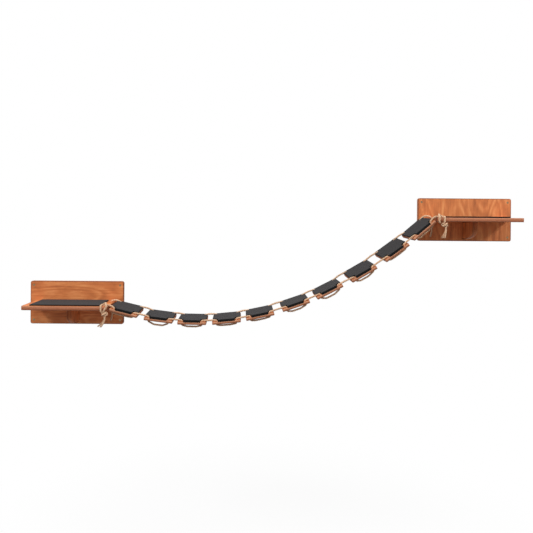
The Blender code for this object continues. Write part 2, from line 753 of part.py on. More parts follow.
def tube(name, points, parent=None):
    """A rope as a plain round tube along its points."""
    curve = bpy.data.curves.new(name, "CURVE")
    curve.dimensions = "3D"
    curve.bevel_depth = ROPE_RADIUS
    curve.bevel_resolution = ROPE_SIDES_RESOLUTION
    curve.use_fill_caps = True
    spline = curve.splines.new("POLY")
    spline.points.add(len(points) - 1)
    for control, point in zip(spline.points, points):
        control.co = (*point, 1)
    curve.materials.append(material(name, HEMP))
    obj = bpy.data.objects.new(name, curve)
    place(obj, parent)
    return obj


def least_gap(points):
    """The least gap between two stretches of one rope, measured on points along it."""
    fine = []
    for a, b in zip(points, points[1:]):
        count = max(1, round((b - a).length / (GAP_STEP_SHARE * ROPE_DIAMETER)))
        fine += [a.lerp(b, k / count) for k in range(count)]
    place_of = np.array(fine)
    run = np.concatenate([[0], np.cumsum(np.linalg.norm(np.diff(place_of, axis=0), axis=1))])
    least = math.inf
    for i in range(len(fine)):
        later = run > run[i] + NEXT_TURN_SHARE * ROPE_DIAMETER
        if later.any():
            apart = np.linalg.norm(place_of[later] - place_of[i], axis=1).min()
            least = min(least, apart)
    return least - ROPE_DIAMETER


def tail(name, start, lean):
    """A rope's free end below its knot, which leaves it upright and bends away to the left."""
    drop = TAIL_LENGTH / math.hypot(1, lean)
    points = []
    for k in range(TAIL_POINTS):
        share = k / (TAIL_POINTS - 1)
        points.append(start + Vector((-lean * drop * share**2, 0, -drop * share)))
    tube(name, points)


def rope(side, side_offset, lift, sags, ends):
    """One whole rope, from the knot under the left shelf to the knot under the right one."""
    frames = plank_frames()
    middle = bridge_stretch(frames, side_offset, lift, sags).points()
    left, right = ends(middle)
    points = left[::-1] + middle + right
    tube(f"{side}_rope", points)
    print(f"{side} rope: {least_gap(points) * 1000:.2f} mm between its nearest turns")
    return left[-1], right[-1]


def front_ends(middle):
    return (
        hitch(1, LEFT_HITCH_SHARES, middle),
        hitch(-1, RIGHT_HITCH_SHARES, middle),
    )


def back_ends(middle):
    """The back rope only goes down its hole and ends in a knot."""
    ends = []
    for bridge in (1, -1):
        depth = PLANK_MIDDLE - BACK_ROPE
        drop = -SHELF_THICKNESS - KNOT_DROP_SHARE * ROPE_DIAMETER
        start = shelf_place(bridge, SHELF_HOLE_FROM_END, depth, -SHELF_THICKNESS / 2)
        entry = shelf_place(bridge, SHELF_HOLE_FROM_END, depth, drop)
        ends.append([start, *knot(entry, KNOT_TURN)])
    return ends


def bridge_ropes():
    sags = [LOOP_SAG * LOOP_SAG_SHARES[k % len(LOOP_SAG_SHARES)] for k in range(PLANK_COUNT)]
    left, right = rope("front", FRONT_ROPE, FRONT_LIFT, sags, front_ends)
    drop = Vector((0, 0, -SEAT))
    tail("front_left_tail", left + drop, FRONT_LEFT_LEAN)
    tail("front_right_tail", right + drop, FRONT_RIGHT_LEAN)
    left, right = rope("back", BACK_ROPE, BACK_LIFT, sags[::-1], back_ends)
    tail("back_left_tail", left + drop, BACK_LEAN)
    tail("back_right_tail", right + drop, BACK_LEAN)


def main():
    for old in list(bpy.data.objects):
        bpy.data.objects.remove(old, do_unlink=True)
    wall_unit("left", (0, 0, 0), 1)
    wall_unit("right", (UNIT_SPAN, 0, UNIT_RISE), -1)
    for number, matrix in enumerate(plank_frames(), 1):
        plank(number, matrix)
    bridge_ropes()


main()
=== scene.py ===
"""Looks of the cat wall bridge: stained plywood, felt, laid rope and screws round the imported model.

Metres, with +X along the wall from the low unit to the high one, +Y into the wall and +Z up.
"""

import json
import math

import bpy
import numpy as np
from mathutils import Matrix, Vector, noise


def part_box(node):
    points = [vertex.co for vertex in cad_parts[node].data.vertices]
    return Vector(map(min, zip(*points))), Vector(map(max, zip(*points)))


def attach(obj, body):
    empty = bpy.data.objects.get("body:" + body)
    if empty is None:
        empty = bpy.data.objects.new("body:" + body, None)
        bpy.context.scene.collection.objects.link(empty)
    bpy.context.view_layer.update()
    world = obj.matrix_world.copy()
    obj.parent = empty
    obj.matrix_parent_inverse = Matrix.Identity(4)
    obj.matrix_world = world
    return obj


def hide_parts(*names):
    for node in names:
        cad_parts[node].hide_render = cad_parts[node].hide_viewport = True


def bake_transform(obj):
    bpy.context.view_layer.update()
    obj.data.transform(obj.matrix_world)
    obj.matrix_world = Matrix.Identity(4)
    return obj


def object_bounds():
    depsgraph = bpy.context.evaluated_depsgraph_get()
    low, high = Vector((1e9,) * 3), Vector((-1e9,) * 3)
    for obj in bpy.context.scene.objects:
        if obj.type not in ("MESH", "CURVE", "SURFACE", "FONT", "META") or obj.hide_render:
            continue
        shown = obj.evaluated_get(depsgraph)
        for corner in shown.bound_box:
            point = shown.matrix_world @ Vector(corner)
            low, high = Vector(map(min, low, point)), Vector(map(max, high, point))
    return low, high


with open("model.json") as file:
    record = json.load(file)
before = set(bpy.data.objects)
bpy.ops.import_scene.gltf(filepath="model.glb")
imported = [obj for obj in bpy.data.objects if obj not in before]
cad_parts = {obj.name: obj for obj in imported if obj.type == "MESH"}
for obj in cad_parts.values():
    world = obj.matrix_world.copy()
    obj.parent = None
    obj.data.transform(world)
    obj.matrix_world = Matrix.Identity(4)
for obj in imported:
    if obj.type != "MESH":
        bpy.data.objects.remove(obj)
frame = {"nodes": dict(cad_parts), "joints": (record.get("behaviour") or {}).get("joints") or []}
cad_box = [list(corner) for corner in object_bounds()]

bl_info = {
    "name": "Cat wall bridge",
    "version": (1, 0, 0),
    "blender": (4, 5, 0),
    "location": "View3D > Sidebar > Cat bridge",
    "description": "Dresses a wall-mounted rope bridge for cats in plywood, felt and rope",
    "category": "Object",
}

SIDES = ("left", "right")
FIXED = "wall_units"
PLANK_JOINTS = sorted(
    (joint for joint in frame["joints"] if joint["child"].startswith("plank_")),
    key=lambda joint: joint["child"],
)
PLANKS = [joint["child"] for joint in PLANK_JOINTS]
TILT_DEG = (2.4, 1.4, 0.9, 1.2, 1.4, 1.4, 1.8, 5.5, 6.5, 3.5)

# Where the ropes run, as in the solid ropes
SEAT = 0.0003
PLANK_HOLE_FROM_END = 0.018
PLANK_HOLE_FROM_FRONT = 0.012
PLANK_HOLE_FROM_BACK = 0.011
SHELF_HOLE_FROM_END = 0.016
ROPE_BEND = 0.0045
LOOP_BEND = 0.009
FREE_BEND = 0.200
CROSSING_BEND = 0.006
LIFTS = {"front": 0.0010, "back": 0.0050}
LOOP_SHOULDER = 0.0038
LOOP_SAG = 0.0055
LOOP_SAG_SHARES = (1.0, 2.5, 1.55, 1.25, 1.25, 1.85, 2.2, 2.0, 1.0, 1.1)
LOOP_HALF_LENGTH = 0.018
LOOP_SLIDE = 0.012
HITCH_SHARES = {
    "left": {"up": 1.4, "back": 1.7, "cross": -1.2, "down": -2.7, "foot": -0.5},
    "right": {"up": -2.1, "back": 1.7, "cross": -1.2, "down": 1.5, "foot": 1.3},
}
HITCH_BACK_SHARE = 2.4
CROSSING_SHARE = 1.5
KNOT_SHARES = (1.27, 0.6, 0.78, 0.85)  # ring, swell, rise and lead, of the rope's diameter
KNOT_TWIST = 1.5
KNOT_WIND_SHARE = 1.66
KNOT_POINTS = 97
LEAD_POINTS = 12
KNOT_TURN = math.radians(-90)
KNOT_DROP_SHARE = 0.35
TAIL_LENGTH = 0.037
TAIL_POINTS = 24
TAIL_LEANS = {"front_left": 0.42, "front_right": 0.12, "back_left": 0.16, "back_right": 0.16}
ARC_STEP = math.radians(12)
STRAIGHT = math.radians(0.5)
ARC_ROOM_SHARE = 0.49
EASE_REACH, EASE_FINENESS = 5, 4
FEWEST_STEPS = 4
TOUCHING = 1e-7
NEVER_ALONG = (0.3, 1, 0.2)  # a direction that no rope starts in

# The rope's strands, its stray fibres and its opened ends
LOBES, LOBE_POINTS = 3, 6
LOBE_RADIUS_SHARE, LOBE_PLACE_SHARE = 0.55, 0.45  # of the rope's radius
FIBRE_SIDES = 3
FIBRE_TIP_SHARE = 0.45
FUZZ_RADIUS = 0.00013
FUZZ_LENGTHS = (0.004, 0.010)
FUZZ_LIFTS = (0.0003, 0.0016)
FUZZ_CURVE = 1.5
FUZZ_ROOT_SHARE = 0.9
FUZZ_SLANT = 0.5
FUZZ_POINTS = 4
FRAY_START_SHARE = 0.1
FRAY_ROOT_SHARE = 0.42
FRAY_RADIUS = 0.0006
FRAY_UNEVEN = 0.0015
FRAY_WAVE = 0.0008
FRAY_CURVE = 1.05
FRAY_DEPTH_SHARE = 0.6
FRAY_POINTS = 7
TAIL_BUNDLES = {  # each bundle's place across and below the rope's end, half width and count
    "front_left": ((-0.0115, 0.0005, 0.0044, 48), (-0.0015, 0.0030, 0.0044, 48)),
    "front_right": ((-0.0070, 0.0005, 0.0100, 140),),
    "back_left": ((0.0, 0.0010, 0.0045, 40),),
    "back_right": ((0.0, 0.0010, 0.0045, 40),),
}

# The felt's cut, and how it is softened
NOTCH_LENGTH = 0.022
NOTCH_WIDTH = 0.024
NOTCH_CORNER = 0.006
SLOT_WIDTH = 0.0084
SLOT_CORNER_SHARE = 0.48
FELT_CORNER = 0.003
RIGHT_FELT_SHORTER = 0.022
FELT_HANG = 0.0036
FELT_EDGE = 0.0015
FELT_BULGE_SHARE = 0.4
SOFTEN_FACTOR, SOFTEN_TIMES = 0.5, 3
CUT_BELOW, CUT_RANGE = 0.92, 0.07  # how far up the cut sides face; faces turned further from up are painted near-black, as shade
NAP_SCALE, NAP_NOISE, NAP_MIDDLE = 90, (1.0, 2.0, 3), 0.6

# The stage
CAMERA_REACH = 100
LAMPS = {  # setting, share of it, size and place from the part's middle
    "key": ("key", 1.0, 1.8, (-0.3, -1.2, 1.9)),
    "front": ("key", 0.08, 2.2, (0.4, -2.8, 0.6)),
    "left": ("side", 1.0, 0.5, (-2.4, -1.0, 1.5)),
    "right": ("side", 1.0, 0.5, (2.4, -1.0, 1.5)),
}
WHITE = (1, 1, 1)
FLOOR_GREY, FLOOR_ROUGHNESS, FLOOR_HALF = (0.45, 0.45, 0.45), 0.9, 14
SHADOW_DEPTH, SHADOW_EDGE = 0.11, (0.4, 1.6)

# The ropes' sharpest smooth edge, and where the seeds of each kind of board's grain start
SHARP = math.radians(60)
SEEDS = {"backboard": 1, "shelf": 5, "bracket": 9, "plank": 20}


# Settings that a user would change


def number(name, description, default, **rest):
    return bpy.props.FloatProperty(name=name, description=description, default=default, **rest)


def vector(name, description, default, **rest):
    return bpy.props.FloatVectorProperty(
        name=name, description=description, default=default, **rest
    )


def length(name, description, default, low, high):
    return number(name, description, default, unit="LENGTH", min=low, max=high)


def colour(name, description, default):
    return vector(name, description, default, subtype="COLOR", min=0, max=1)


class CATBRIDGE_PG_wood(bpy.types.PropertyGroup):
    """The stained plywood."""

    dark: colour("Dark stain", "Wood where the stain soaked in most", (0.24, 0.060, 0.016))
    middle: colour("Stain", "Usual colour of the stained face", (0.57, 0.172, 0.05))
    light: colour("Light stain", "Wood where the stain took least", (0.80, 0.335, 0.12))
    board_side: colour("Board sides", "Sides of the boards and shelves", (0.62, 0.27, 0.15))
    plank_side: colour("Plank sides", "Sides of the planks", (0.80, 0.42, 0.25))
    arris: length("Arris", "Width of the sanded edge that soaked up more stain", 0.003, 0, 0.01)
    veneer: length("Veneer", "Thickness of one veneer of the plywood", 0.003, 0.0003, 0.01)
    round: length("Round", "Radius to which the edges look sanded", 0.0035, 0.0001, 0.01)


class CATBRIDGE_PG_felt(bpy.types.PropertyGroup):
    """The felt on the shelves and planks."""

    face: colour("Face", "Colour of the felt's face", (0.0245, 0.0225, 0.0232))
    # The cut sides' near-black is partly the cut felt's own colour and mostly painted shade
    cut: colour("Cut side", "Colour of the felt's cut sides", (0.0012, 0.0011, 0.0012))
    voxel: length("Mesh size", "Size of the felt mesh's faces", 0.0018, 0.0008, 0.01)
    nap: length("Nap", "How far the felt's face is uneven", 0.00025, 0, 0.002)


class CATBRIDGE_PG_rope(bpy.types.PropertyGroup):
    """The laid rope."""

    diameter: length("Diameter", "Diameter of the rope", 0.006, 0.002, 0.02)
    fullness: number(
        "Fullness", "How much thicker the loosely laid rope is than tight rope", 1.3, min=1, max=1.3
    )
    lay: length("Lay", "Length in which a strand goes once round the rope", 0.021, 0.005, 0.2)
    step: length("Step", "Length of the mesh's faces along the rope", 0.0014, 0.0005, 0.01)
    light: colour("Fibre", "Colour of the rope's clean fibres", (0.67, 0.445, 0.285))
    # The groove colour is the rope's darkest; painted shade between the strands pulls the tone
    # towards it
    dark: colour("Groove", "Colour between the strands", (0.33, 0.17, 0.09))
    fuzz: bpy.props.IntProperty(
        name="Fuzz", description="Loose fibres on each metre of rope", default=320, min=0, max=2000
    )


class CATBRIDGE_PG_screws(bpy.types.PropertyGroup):
    """The plated screws."""

    plating: colour("Plating", "Colour of the screws' plating", (0.26, 0.185, 0.10))


class CATBRIDGE_PG_stage(bpy.types.PropertyGroup):
    """Camera, floor and light."""

    lens: number("Lens", "Focal length in millimetres", 38.96, min=10, max=300)
    eye: vector(
        "Eye", "Where the camera stands", (0.720, -2.50, 0.3634), subtype="TRANSLATION", unit="LENGTH"
    )
    roll: number(
        "Roll", "Roll of the camera", math.radians(0.44), subtype="ANGLE", unit="ROTATION"
    )
    shift: vector("Shift", "Shift of the view, in widths", (0.0403, -0.0885), size=2)
    floor: length("Floor", "Height of the floor", -1.1, -10, 10)
    key: number("Key light", "Power of the large lamp overhead", 50, min=0)
    side: number("Side lights", "Power of each of the two side lamps", 38, min=0)
    fill: number("Fill light", "Strength of the light from all round", 0.20, min=0)


# Materials

# A noise is its scale, or its scales along, across and through, then its detail, roughness and
# distortion. An edge is where a smooth step starts and ends. A swing is how far a pattern moves the
# tone either way, and a drop how far it darkens it.
SEED_SHIFT = (3.17, 1.71, 0.93)
WOOD_NOISES = {
    "field": ((2.4, 9.5, 3.0), 1.5, 0.4, 0.9),
    "fibre": ((16, 540, 60), 3.0, 0.6),
    "streak": ((5, 90, 20), 2.0, 0.5),
    "blotch": ((8, 17, 12), 3.0, 0.6, 0.4),
    "flame": ((13, 30, 12), 2.0, 0.5, 1.6),
    "pore": ((70, 1300, 80), 1.0, 0.5),
    "long grain": ((24, 24, 900), 2.0, 0.6),
    "end grain": ((420, 420, 160), 2.0, 0.7),
}
FIGURE_RINGS = 46.0
FACE_TONE = 0.5
FACE_SWINGS = {"blotch": 0.65, "streak": 0.38, "figure": 0.16, "fibre": 0.35}
FLAME_EDGE, FLAME_LIFT = (0.60, 0.80), 0.08
PORE_EDGE, PORE_DROP = (0.62, 0.74), 0.16
FACE_STOPS = (0.12, 0.36, 0.52, 0.80)
FACE_SECOND = 0.6  # how far the face's second colour is from the dark stain to the usual one
SIDE_TONE = 0.80
CORE_EDGE = (0.8, 1.2)  # of a veneer's thickness under the face
CORE_DROP = 0.35
END_GRAIN_EDGE, END_GRAIN_DROP = (0.45, 0.6), 0.1
GLUE_EDGE, GLUE_DROP = (0.36, 0.48), 0.1
END_DEPTHS, END_DROP = (0.0010, 0.0003), 0.5
SIDE_SHADE_EDGE = (-0.5, 0.1)  # of the thickness, up from the middle, where the painted shade on the sides' lower half ends
# How far painted shade darkens the lower half of the boards' and the planks' sides
BOARD_SIDE_SHADE, PLANK_SIDE_SHADE = 0.45, 0.62
LONG_GRAIN_SWING = 0.3
SIDE_STOPS = (0.1, 0.5, 0.85)
SIDE_SECOND = 0.55
SIDE_BLUR = 0.0004
RIM_UNEVEN, RIM_EDGE = 0.002, (-0.0006, 0.0008)
SOAKED_SHARE = 0.85
GRAIN_DEPTH = 0.00025
GRAIN_FIBRE, GRAIN_FIGURE, GRAIN_PORE = 0.5, 0.15, 0.5
WOOD_ROUGHNESS, DARK_ROUGHER, SIDE_ROUGHER = 0.50, 0.14, 0.12
WOOD_SPECULAR = 0.35

FELT_WEAVE = {
    "noises": ((260.0, 4.0, 0.65), (900.0, 2.0, 0.6, 2.0), (22.0, 2.0, 0.5)),
    "tone": 0.62,
    "swings": (1.1, 0.7, 0.35),
    "bumps": (0.6, 0.4),
    "depth": 0.0006,
}
FELT_SHADES = (0.55, 1.35)
FELT_SURFACE = {"Roughness": 0.93, "Specular_IOR_Level": 0.2}
FELT_SHEEN = {"Sheen_Weight": 0.025, "Sheen_Roughness": 0.5}

ROPE_WEAVE = {
    "noises": (((2600, 2600, 160), 2.0, 0.6), ((900, 900, 90), 2.0, 0.5), ((40, 40, 14), 2.0, 0.5)),
    "tone": 0.80,
    "swings": (0.7, 0.5, 0.5),
    "bumps": (0.5, 0.6),
    "depth": 0.0005,
}
# Painted shade in the grooves between the strands: where it starts and how far it darkens
GROOVE_SHADE_EDGE, GROOVE_SHADE_DROP = (0.4, 1.0), 0.3
ROPE_STOPS, ROPE_SECOND = (0.0, 0.45, 0.85), 0.55
ROPE_SURFACE = {"Roughness": 0.9, "Specular_IOR_Level": 0.25}

SCREW_WEAR, WEAR_EDGE, WEAR_DEPTH = (700.0, 3.0, 0.6), (0.35, 0.7), 0.0001
SCREW_SHADES = (0.6, 1.5)
SCREW_METALLIC, SCREW_ROUGHNESS, WEAR_SWING = 0.85, 0.34, 0.4


def reckoned(operation, reflected=False):
    """A method that adds a Math node for its own value and any others."""

    def add(self, *others):
        values = (*others, self) if reflected else (self, *others)
        return self.nodes.add("ShaderNodeMath", {"operation": operation}, dict(enumerate(values)))

    return add


def both_ways(operation):
    return reckoned(operation), reckoned(operation, reflected=True)


class Value:
    """A socket of a shader that can be reckoned with."""

    __add__, __radd__ = both_ways("ADD")
    __sub__, __rsub__ = both_ways("SUBTRACT")
    __mul__, __rmul__ = both_ways("MULTIPLY")
    __truediv__, __rtruediv__ = both_ways("DIVIDE")
    __pow__, __rpow__ = both_ways("POWER")
    __abs__ = reckoned("ABSOLUTE")
    sine = reckoned("SINE")
    fraction = reckoned("FRACT")
    at_least = reckoned("MAXIMUM")
    at_most = reckoned("MINIMUM")

    def __init__(self, nodes, socket):
        self.nodes = nodes
        self.socket = socket

    def swing(self, weight):
        """A pattern of 0 to 1 as so much more or less of a tone."""
        return (self - 0.5) * weight

    def smooth(self, low, high):
        """0 below low, 1 above high, and a smooth step between them."""
        sockets = {"Value": self, "From Min": low, "From Max": high}
        return self.nodes.add("ShaderNodeMapRange", {"interpolation_type": "SMOOTHSTEP"}, sockets)


class Nodes:
    """A node tree, and the one way in which nodes are added to it."""

    def __init__(self, tree):
        self.tree = tree

    def feed(self, socket, value):
        if isinstance(value, Value):
            self.tree.links.new(value.socket, socket)
        elif hasattr(socket.default_value, "__len__") and len(socket.default_value) == 4:
            socket.default_value = (*value[:3], 1)
        else:
            socket.default_value = value

    def add(self, kind, settings, inputs, output=0):
        node = self.tree.nodes.new(kind)
        for name, setting in settings.items():
            if name == "stops":
                self.set_stops(node.color_ramp, setting)
            else:
                setattr(node, name, setting)
        for name, value in inputs.items():
            self.feed(node.inputs[name], value)
        return Value(self, node.outputs[output])

    def set_stops(self, ramp, stops):
        while len(ramp.elements) < len(stops):
            ramp.elements.new(1)
        for element, (place, colour) in zip(ramp.elements, stops):
            element.position = place
            element.color = (*colour[:3], 1)

    def outputs(self, kind, settings, inputs):
        """Adds a node and gives all its outputs by name."""
        node = self.add(kind, settings, inputs).socket.node
        return {socket.name: Value(self, socket) for socket in node.outputs}

    def parts(self, vector):
        return self.outputs("ShaderNodeSeparateXYZ", {}, {"Vector": vector}).values()

    def seen(self):
        """1 for the camera, and in what mirrors and clear pieces show."""
        rays = self.outputs("ShaderNodeLightPath", {}, {})
        names = ("Is Camera Ray", "Is Glossy Ray", "Is Transmission Ray")
        camera, glossy, through = (rays[name] for name in names)
        return camera.at_least(glossy).at_least(through)

    def place(self):
        return self.add("ShaderNodeTexCoord", {}, {}, "Object")

    def attribute(self, name, output):
        return self.add("ShaderNodeAttribute", {"attribute_name": name}, {}, output)

    def noise(self, vector, scale, detail, roughness, distortion=0.0, shift=(0, 0, 0)):
        """A noise of one scale, or of one scale for each direction."""
        if isinstance(scale, tuple):
            sums = {0: vector, 1: scale, 2: shift}
            vector = self.add("ShaderNodeVectorMath", {"operation": "MULTIPLY_ADD"}, sums)
            scale = 1.0
        sockets = {"Vector": vector, "Scale": scale, "Detail": detail}
        sockets |= {"Roughness": roughness, "Distortion": distortion}
        return self.add("ShaderNodeTexNoise", {}, sockets)

    def mix(self, factor, low, high):
        sockets = {0: factor, 6: low, 7: high}
        return self.add("ShaderNodeMix", {"data_type": "RGBA"}, sockets, output=2)

    def ramp(self, factor, places, colours):
        stops = list(zip(places, colours, strict=True))
        return self.add("ShaderNodeValToRGB", {"stops": stops}, {"Fac": factor})

    def bump(self, height, distance):
        sockets = {"Height": height, "Distance": distance, "Strength": 1.0}
        return self.add("ShaderNodeBump", {}, sockets, "Normal")


class Finish(Nodes):
    """The nodes of one material."""

    def __init__(self, name):
        self.material = bpy.data.materials.new(name)
        self.material.use_nodes = True
        super().__init__(self.material.node_tree)
        self.shader = self.tree.nodes["Principled BSDF"]

    def weave(self, place, noises, tone, swings, bumps, depth):
        """The tone of a cloth or cord that noises swing, and the bumps of the first two."""
        patterns = [self.noise(place, *kind) for kind in noises]
        for pattern, weight in zip(patterns, swings, strict=True):
            tone = tone + pattern.swing(weight)
        return tone, self.bump(patterns[0] * bumps[0] + patterns[1] * bumps[1], depth)

    def surface(self, **sockets):
        """Feeds the shader. An underscore in a name stands for a space."""
        for name, value in sockets.items():
            self.feed(self.shader.inputs[name.replace("_", " ")], value)
        return self.material


def between(first, second, share):
    return Vector(first).lerp(Vector(second), share)


def shades(colour, shares):
    """The colour made darker or lighter by each share."""
    return [[min(1, c * share) for c in colour] for share in shares]


def felt_finish(felt):
    """Pressed felt: a mottled grey face with short fibres, and near-black cut sides, partly the cut
    felt's colour and mostly painted shade.
    """
    finish = Finish("felt")
    tone, bumps = finish.weave(finish.place(), **FELT_WEAVE)
    face = finish.mix(tone, *shades(felt.face, FELT_SHADES))
    base = finish.mix(finish.attribute("cut_side", "Fac"), face, felt.cut)
    return finish.surface(Base_Color=base, Normal=bumps, **FELT_SURFACE, **FELT_SHEEN)


def rope_finish(name, rope):
    """Laid natural fibre: fibres along the rope, with painted shade between the strands."""
    finish = Finish(name)
    tone, bumps = finish.weave(finish.attribute("rope_place", "Vector"), **ROPE_WEAVE)
    # Painted shade: the deeper in a groove between strands, the darker the fibre
    tone = tone - finish.attribute("rope_groove", "Fac").smooth(*GROOVE_SHADE_EDGE) * GROOVE_SHADE_DROP
    second = between(rope.dark, rope.light, ROPE_SECOND)
    base = finish.ramp(tone, ROPE_STOPS, (rope.dark, second, rope.light))
    return finish.surface(Base_Color=base, Normal=bumps, **ROPE_SURFACE)


def screw_finish(screws):
    """Dull bronze plating."""
    finish = Finish("screw_plating")
    wear = finish.noise(finish.place(), *SCREW_WEAR)
    return finish.surface(
        Base_Color=finish.mix(wear.smooth(*WEAR_EDGE), *shades(screws.plating, SCREW_SHADES)),
        Metallic=SCREW_METALLIC,
        Roughness=SCREW_ROUGHNESS + wear.swing(WEAR_SWING),
        Normal=finish.bump(wear, WEAR_DEPTH),
    )


# Pieces


def put(name, data):
    """A new object of the scene."""
    obj = bpy.data.objects.new(name, data)
    bpy.context.scene.collection.objects.link(obj)
    return obj


def mark_points(mesh, name, values):
    """Gives each point of a mesh its number or vector."""
    values = np.asarray(values, np.float32)
    kind, field = ("FLOAT", "value") if values.ndim == 1 else ("FLOAT_VECTOR", "vector")
    mesh.attributes.new(name, kind, "POINT").data.foreach_set(field, values.ravel())


def dress(node, made):
    """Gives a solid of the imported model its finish."""
    obj = frame["nodes"][node]
    if not obj.material_slots:
        raise RuntimeError(f"{node} has no material slot")
    for slot in obj.material_slots:
        slot.link = "OBJECT"
        slot.material = made


def plank_frames():
    """Each plank's own axes, from the joint that it rocks on and how far its front hangs lower."""
    frames = {}
    for joint, tilt in zip(PLANK_JOINTS, TILT_DEG, strict=True):
        along = Vector(joint["axis"]).normalized()
        across = Vector((0, 1, 0))
        turn = Matrix((along, across, along.cross(across))).transposed().to_4x4()
        tilted = Matrix.Rotation(math.radians(tilt), 4, "X")
        frames[joint["child"]] = Matrix.Translation(joint["pos_m"]) @ turn @ tilted
    return frames


def own_box(node, matrix):
    """Lowest and highest corner of a node in its own axes."""
    back = np.array(matrix.inverted())
    points = np.array([v.co for v in frame["nodes"][node].data.vertices])
    own = points @ back[:3, :3].T + back[:3, 3]
    return Vector(own.min(0)), Vector(own.max(0))


def rounded(corners, bends):
    """The points of a line through corners, each rounded by an arc of its own bend radius."""
    corners = [Vector(c) for c in corners]
    points = [corners[0]]
    for before, corner, after, bend in zip(corners, corners[1:], corners[2:], bends[1:]):
        back, onward = before - corner, after - corner
        turn = math.pi - back.angle(onward)
        if turn < STRAIGHT or not bend:
            points.append(corner)
            continue
        room = ARC_ROOM_SHARE * min(back.length, onward.length)
        leg = min(bend * math.tan(turn / 2), room)
        radius = leg / math.tan(turn / 2)
        middle = (back.normalized() + onward.normalized()).normalized()
        centre = corner + middle * math.hypot(leg, radius)
        start = corner + back.normalized() * leg - centre
        axis = back.cross(onward).normalized()
        count = max(1, math.ceil(turn / ARC_STEP))
        for k in range(count + 1):
            points.append(centre + Matrix.Rotation(-turn * k / count, 3, axis) @ start)
    points.append(corners[-1])
    return points


def stain(node, wood, turn, seed, side_colour, side_drop):
    """Gives a board its stained plywood.

    The board's own X runs with its face's grain and its own Z through the veneers. side_colour is
    mixed into the stain on its sides, whose lower half side_drop darkens as painted shade.
    """
    finish = Finish(f"{node}_wood")
    low, high = own_box(node, turn)
    length, width, thickness = high - low
    sheet = turn @ Matrix.Translation((low + high) / 2)
    sockets = {"Vector": finish.place(), "Location": sheet.translation}
    sockets["Rotation"] = sheet.to_euler()
    own = finish.add("ShaderNodeMapping", {"vector_type": "TEXTURE"}, sockets)
    x, y, z = finish.parts(own)
    shift = tuple(seed * share for share in SEED_SHIFT)

    grain = {
        kind: finish.noise(own, *settings, shift=shift) for kind, settings in WOOD_NOISES.items()
    }
    grain["figure"] = (grain["field"] * FIGURE_RINGS).sine() * 0.5 + 0.5
    pores = grain["pore"].smooth(*PORE_EDGE)
    tone = FACE_TONE + grain["flame"].smooth(*FLAME_EDGE) * FLAME_LIFT - pores * PORE_DROP
    for kind, weight in FACE_SWINGS.items():
        tone = tone + grain[kind].swing(weight)
    second = between(wood.dark, wood.middle, FACE_SECOND)
    face = finish.ramp(tone, FACE_STOPS, (wood.dark, second, wood.middle, wood.light))

    under = thickness / 2 - abs(z)
    core = under.smooth(*(wood.veneer * share for share in CORE_EDGE))
    glue = abs((z / wood.veneer + 0.5).fraction() - 0.5).smooth(*GLUE_EDGE)
    end = abs(x).smooth(*(length / 2 - depth for depth in END_DEPTHS))
    # Painted shade: the lower half of the sides is darkened as if it faced away from the light above
    lower = 1 - (z / thickness).smooth(*SIDE_SHADE_EDGE)
    rough = grain["end grain"]
    dark_core = CORE_DROP + rough.smooth(*END_GRAIN_EDGE) * END_GRAIN_DROP + glue * GLUE_DROP
    side_tone = SIDE_TONE - core * dark_core - end * END_DROP - lower * side_drop
    side_tone = side_tone + grain["long grain"].swing(LONG_GRAIN_SWING)
    second = between(wood.dark, side_colour, SIDE_SECOND)
    side = finish.ramp(side_tone, SIDE_STOPS, (wood.dark, second, side_colour))

    rim = (abs(x) - (length / 2 - wood.arris)).at_least(abs(y) - (width / 2 - wood.arris))
    soaked = (rim + grain["streak"].swing(RIM_UNEVEN)).smooth(*RIM_EDGE)
    face = finish.mix(soaked * SOAKED_SHARE, face, wood.dark)
    inner = thickness / 2 - wood.arris / 2
    on_side = 1 - abs(z).smooth(inner - SIDE_BLUR, inner + SIDE_BLUR)

    turned = 1 - (under / wood.round).at_most(1)
    rounding = (1 - turned * turned) ** 0.5 * wood.round
    height = grain["fibre"].swing(GRAIN_FIBRE) + grain["figure"].swing(GRAIN_FIGURE)
    height = (height - pores * GRAIN_PORE - on_side * core * rough) * GRAIN_DEPTH
    made = finish.surface(
        Base_Color=finish.mix(on_side, face, side),
        Roughness=WOOD_ROUGHNESS + (1 - tone) * DARK_ROUGHER + on_side * SIDE_ROUGHER,
        Normal=finish.bump(height + rounding, 1.0),
        Specular_IOR_Level=WOOD_SPECULAR,
    )
    dress(node, made)


# Felt


